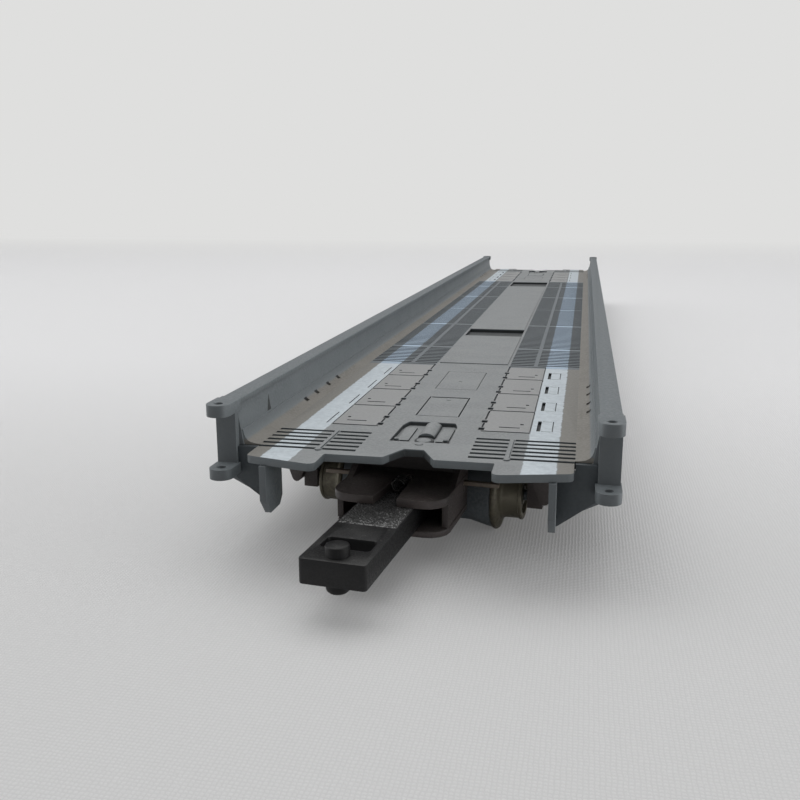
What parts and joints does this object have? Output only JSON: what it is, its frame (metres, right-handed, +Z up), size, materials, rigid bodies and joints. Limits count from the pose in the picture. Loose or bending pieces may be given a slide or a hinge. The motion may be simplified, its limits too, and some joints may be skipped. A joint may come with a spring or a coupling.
{
  "type": "model lorry-carrying railway wagon",
  "caption": "Low-floor model railway wagon for carrying lorries: flat deck between side girders, two swivelling bogies with small wheels, swinging drawbars.",
  "frame": {"origin": "middle of the wagon's length and width, level with the bottoms of the wheel flanges", "axes": "+Z up, +Y along the wagon towards its rear end, +X across it to the right"},
  "size_m": [0.0338, 0.225, 0.0141],
  "materials": {
    "deck": "matt warm grey paint with two white lane stripes",
    "girder": "matt blue-grey paint",
    "underframe": "matt dark grey",
    "ballast": "blackened rolled steel",
    "bogie": "matt brown-black moulding",
    "drawbar": "near-black moulding, eroded texture on top",
    "wheel": "burnished steel, dulled",
    "axle": "blackened steel",
    "fastener": "bright steel"
  },
  "bodies": {
    "wagon": {"deck_plate": "deck", "side_girder_left": "girder", "side_girder_right": "girder", "ballast_tray": "underframe", "ballast_plate": "ballast", "tray_screw_1": "fastener", "tray_screw_2": "fastener", "tray_screw_3": "fastener", "tray_screw_4": "fastener", "front_bolster": "underframe", "rear_bolster": "underframe", "front_pivot_screw": "fastener", "rear_pivot_screw": "fastener"},
    "front_bogie": {"front_bogie_frame": "bogie", "front_pocket_keeper": "bogie", "front_drawbar_pivot_pin": "fastener", "front_return_spring": "fastener"},
    "front_wheelset_1": {"front_axle_1": "axle", "front_axle_1_wheel_left": "wheel", "front_axle_1_wheel_right": "wheel"},
    "front_wheelset_2": {"front_axle_2": "axle", "front_axle_2_wheel_left": "wheel", "front_axle_2_wheel_right": "wheel"},
    "front_wheelset_3": {"front_axle_3": "axle", "front_axle_3_wheel_left": "wheel", "front_axle_3_wheel_right": "wheel"},
    "front_wheelset_4": {"front_axle_4": "axle", "front_axle_4_wheel_left": "wheel", "front_axle_4_wheel_right": "wheel"},
    "front_coupler": {"front_drawbar": "drawbar", "front_coupling_pin": "drawbar"},
    "rear_bogie": {"rear_bogie_frame": "bogie", "rear_pocket_keeper": "bogie", "rear_drawbar_pivot_pin": "fastener", "rear_return_spring": "fastener"},
    "rear_wheelset_1": {"rear_axle_1": "axle", "rear_axle_1_wheel_left": "wheel", "rear_axle_1_wheel_right": "wheel"},
    "rear_wheelset_2": {"rear_axle_2": "axle", "rear_axle_2_wheel_left": "wheel", "rear_axle_2_wheel_right": "wheel"},
    "rear_wheelset_3": {"rear_axle_3": "axle", "rear_axle_3_wheel_left": "wheel", "rear_axle_3_wheel_right": "wheel"},
    "rear_wheelset_4": {"rear_axle_4": "axle", "rear_axle_4_wheel_left": "wheel", "rear_axle_4_wheel_right": "wheel"},
    "rear_coupler": {"rear_drawbar": "drawbar", "rear_coupling_pin": "drawbar"}
  },
  "joints": [
    {"name": "front_bogie_swivel", "type": "hinge", "parent": "wagon", "child": "front_bogie", "pos_m": [0, -0.07645, 0.0075], "axis": [0, 0, 1], "range_deg": [-4.3, 15.7]},
    {"name": "front_wheelset_1_spin", "type": "hinge", "parent": "front_bogie", "child": "front_wheelset_1", "pos_m": [-0.0012, -0.08847, 0.00346], "axis": [0.9951, -0.0993, 0], "continuous": true},
    {"name": "front_wheelset_2_spin", "type": "hinge", "parent": "front_bogie", "child": "front_wheelset_2", "pos_m": [-0.0004, -0.08046, 0.00346], "axis": [0.9951, -0.0993, 0], "continuous": true},
    {"name": "front_wheelset_3_spin", "type": "hinge", "parent": "front_bogie", "child": "front_wheelset_3", "pos_m": [0.0004, -0.07244, 0.00346], "axis": [0.9951, -0.0993, 0], "continuous": true},
    {"name": "front_wheelset_4_spin", "type": "hinge", "parent": "front_bogie", "child": "front_wheelset_4", "pos_m": [0.0012, -0.06443, 0.00346], "axis": [0.9951, -0.0993, 0], "continuous": true},
    {"name": "front_drawbar_swing", "type": "hinge", "parent": "front_bogie", "child": "front_coupler", "pos_m": [-0.00176, -0.09406, 0.0042], "axis": [0, 0, 1], "range_deg": [-12, 12]},
    {"name": "rear_bogie_swivel", "type": "hinge", "parent": "wagon", "child": "rear_bogie", "pos_m": [0, 0.07645, 0.0075], "axis": [0, 0, 1], "range_deg": [-4.3, 15.7]},
    {"name": "rear_wheelset_1_spin", "type": "hinge", "parent": "rear_bogie", "child": "rear_wheelset_1", "pos_m": [0.0012, 0.08847, 0.00346], "axis": [-0.9951, 0.0993, 0], "continuous": true},
    {"name": "rear_wheelset_2_spin", "type": "hinge", "parent": "rear_bogie", "child": "rear_wheelset_2", "pos_m": [0.0004, 0.08046, 0.00346], "axis": [-0.9951, 0.0993, 0], "continuous": true},
    {"name": "rear_wheelset_3_spin", "type": "hinge", "parent": "rear_bogie", "child": "rear_wheelset_3", "pos_m": [-0.0004, 0.07244, 0.00346], "axis": [-0.9951, 0.0993, 0], "continuous": true},
    {"name": "rear_wheelset_4_spin", "type": "hinge", "parent": "rear_bogie", "child": "rear_wheelset_4", "pos_m": [-0.0012, 0.06443, 0.00346], "axis": [-0.9951, 0.0993, 0], "continuous": true},
    {"name": "rear_drawbar_swing", "type": "hinge", "parent": "rear_bogie", "child": "rear_coupler", "pos_m": [0.00176, 0.09406, 0.0042], "axis": [0, 0, 1], "range_deg": [-12, 12]}
  ]
}
